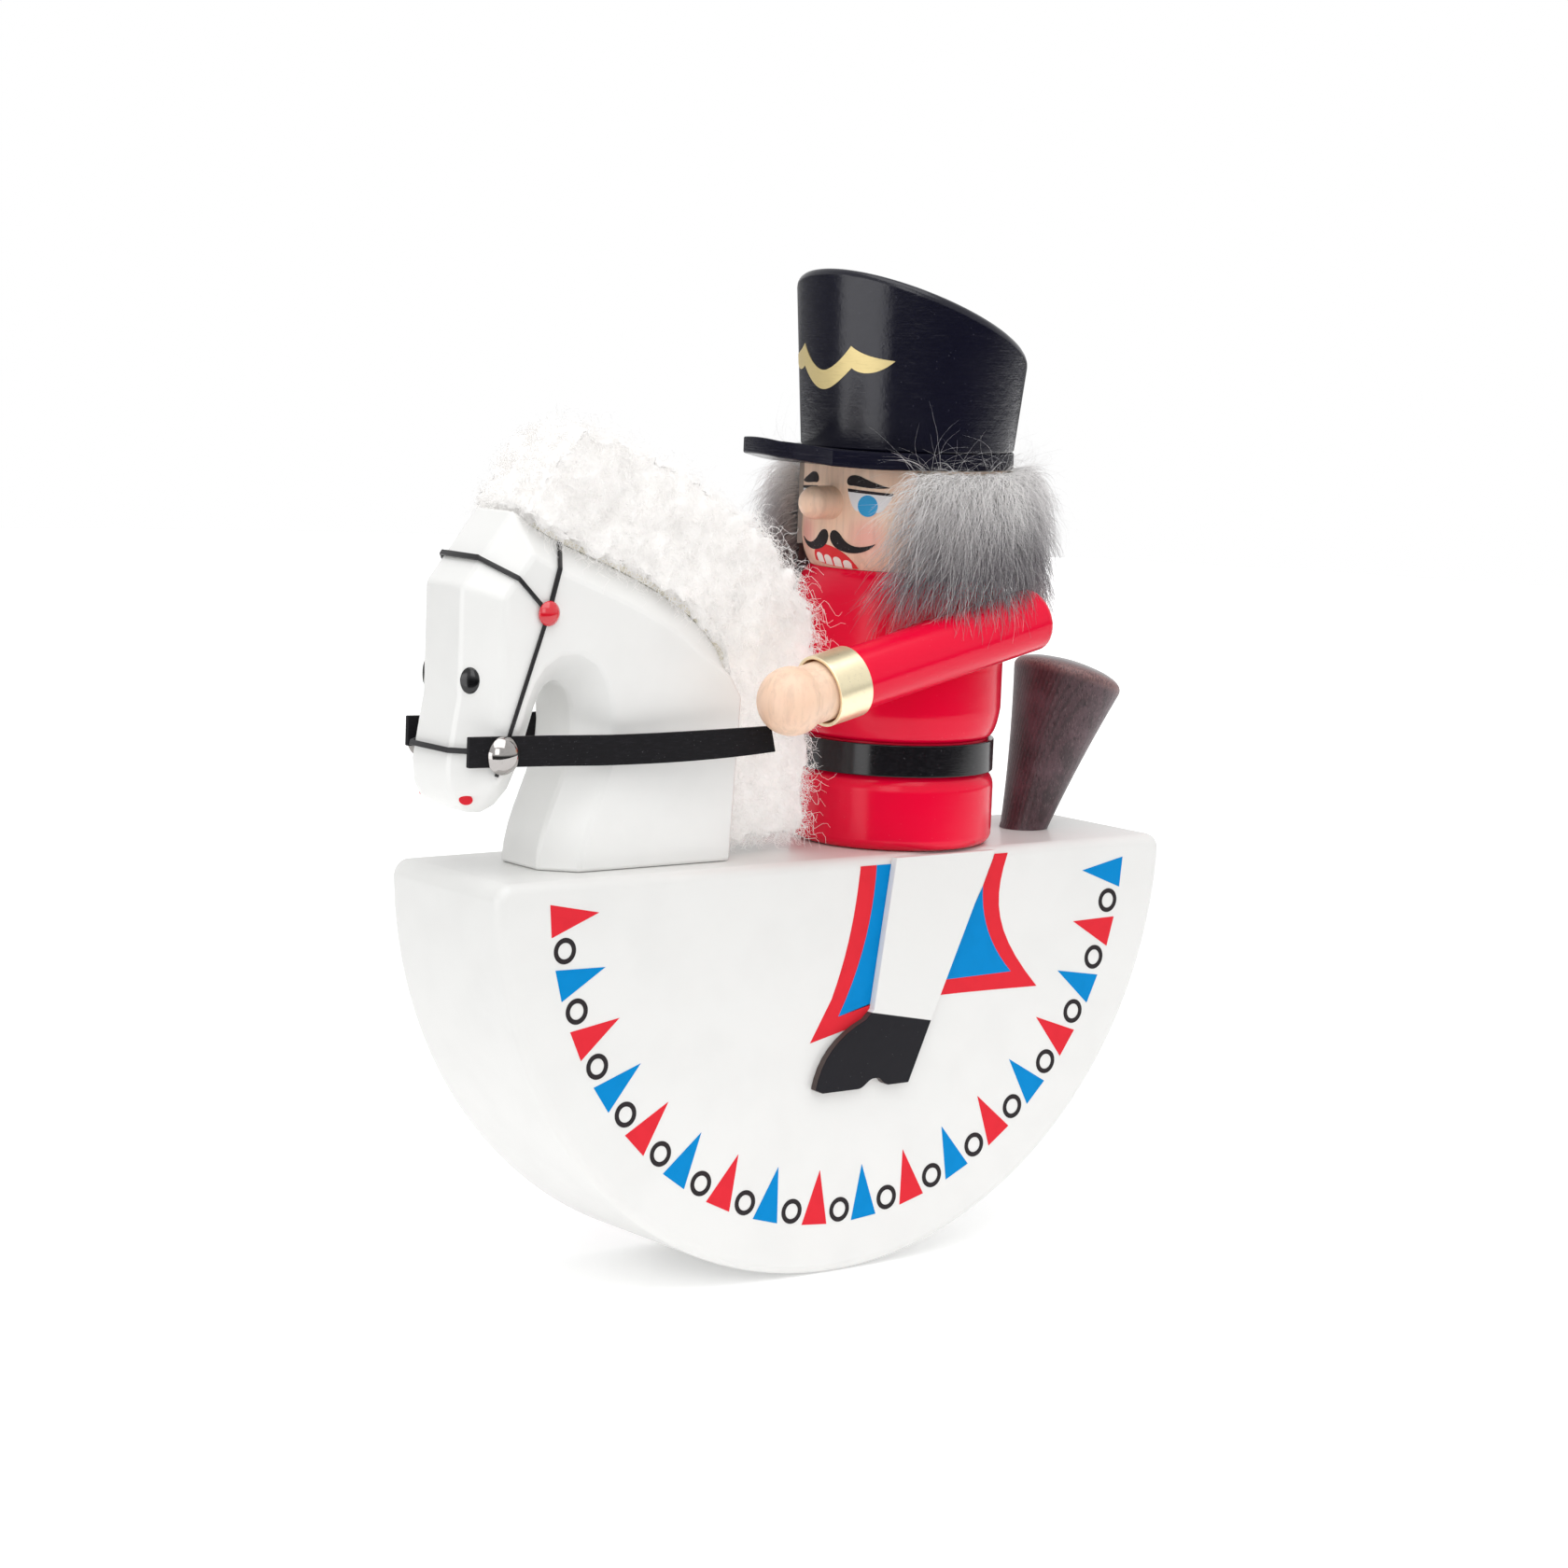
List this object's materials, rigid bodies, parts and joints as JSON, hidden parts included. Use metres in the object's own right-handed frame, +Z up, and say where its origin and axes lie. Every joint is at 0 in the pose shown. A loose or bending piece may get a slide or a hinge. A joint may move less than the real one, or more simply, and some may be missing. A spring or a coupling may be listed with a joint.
{
  "type": "wooden rocking rider toy",
  "caption": "Turned wooden rider with fur hair and a peaked hat, holding the reins of a horse cut from a board, on a half-round base that rocks on its round edge.",
  "frame": {"origin": "middle of the line on which the half-round base stands, in the middle plane", "axes": "+Z up; +X from the horse's nose to its tail, along the rocking direction; +Y to the rider's right, across the base's thickness"},
  "size_m": [0.1228, 0.046, 0.1428],
  "materials": {
    "white_lacquer": "gloss paint",
    "red_lacquer": "gloss paint",
    "black_lacquer": "gloss paint",
    "leg_paint": "gloss paint",
    "light_wood": "satin",
    "dark_wood": "satin",
    "white_wool": "curly fleece",
    "grey_fur": "fur",
    "white_hide": "matte",
    "grey_hide": "matte",
    "black_strap": "satin",
    "brass": "polished",
    "nickel": "polished",
    "red_pin": "gloss",
    "iron": "bare"
  },
  "bodies": {
    "root": {"rocker_base": "white_lacquer", "horse_board": "white_lacquer", "rider_body": "red_lacquer", "sleeve_left": "red_lacquer", "sleeve_right": "red_lacquer", "hat_brim": "black_lacquer", "hat_crown": "black_lacquer", "leg_left": "leg_paint", "leg_right": "leg_paint", "head": "light_wood", "nose": "light_wood", "hand_left": "light_wood", "hand_right": "light_wood", "horse_dowel_front": "light_wood", "horse_dowel_rear": "light_wood", "body_dowel": "light_wood", "neck_dowel": "light_wood", "hat_dowel": "light_wood", "wrist_peg_left": "light_wood", "wrist_peg_right": "light_wood", "tail": "dark_wood", "mane_wool": "white_wool", "hair_fur": "grey_fur", "mane_backing": "white_hide", "hair_backing": "grey_hide", "belt": "black_strap", "browband": "black_strap", "noseband": "black_strap", "headstall_left": "black_strap", "headstall_right": "black_strap", "cheek_strap_left": "black_strap", "cheek_strap_right": "black_strap", "rein_left": "black_strap", "rein_right": "black_strap", "cuff_left": "brass", "cuff_right": "brass", "rein_nail_left": "nickel", "rein_nail_right": "nickel", "rosette_left": "red_pin", "rosette_right": "red_pin", "balance_slug": "iron"}
  },
  "joints": []
}
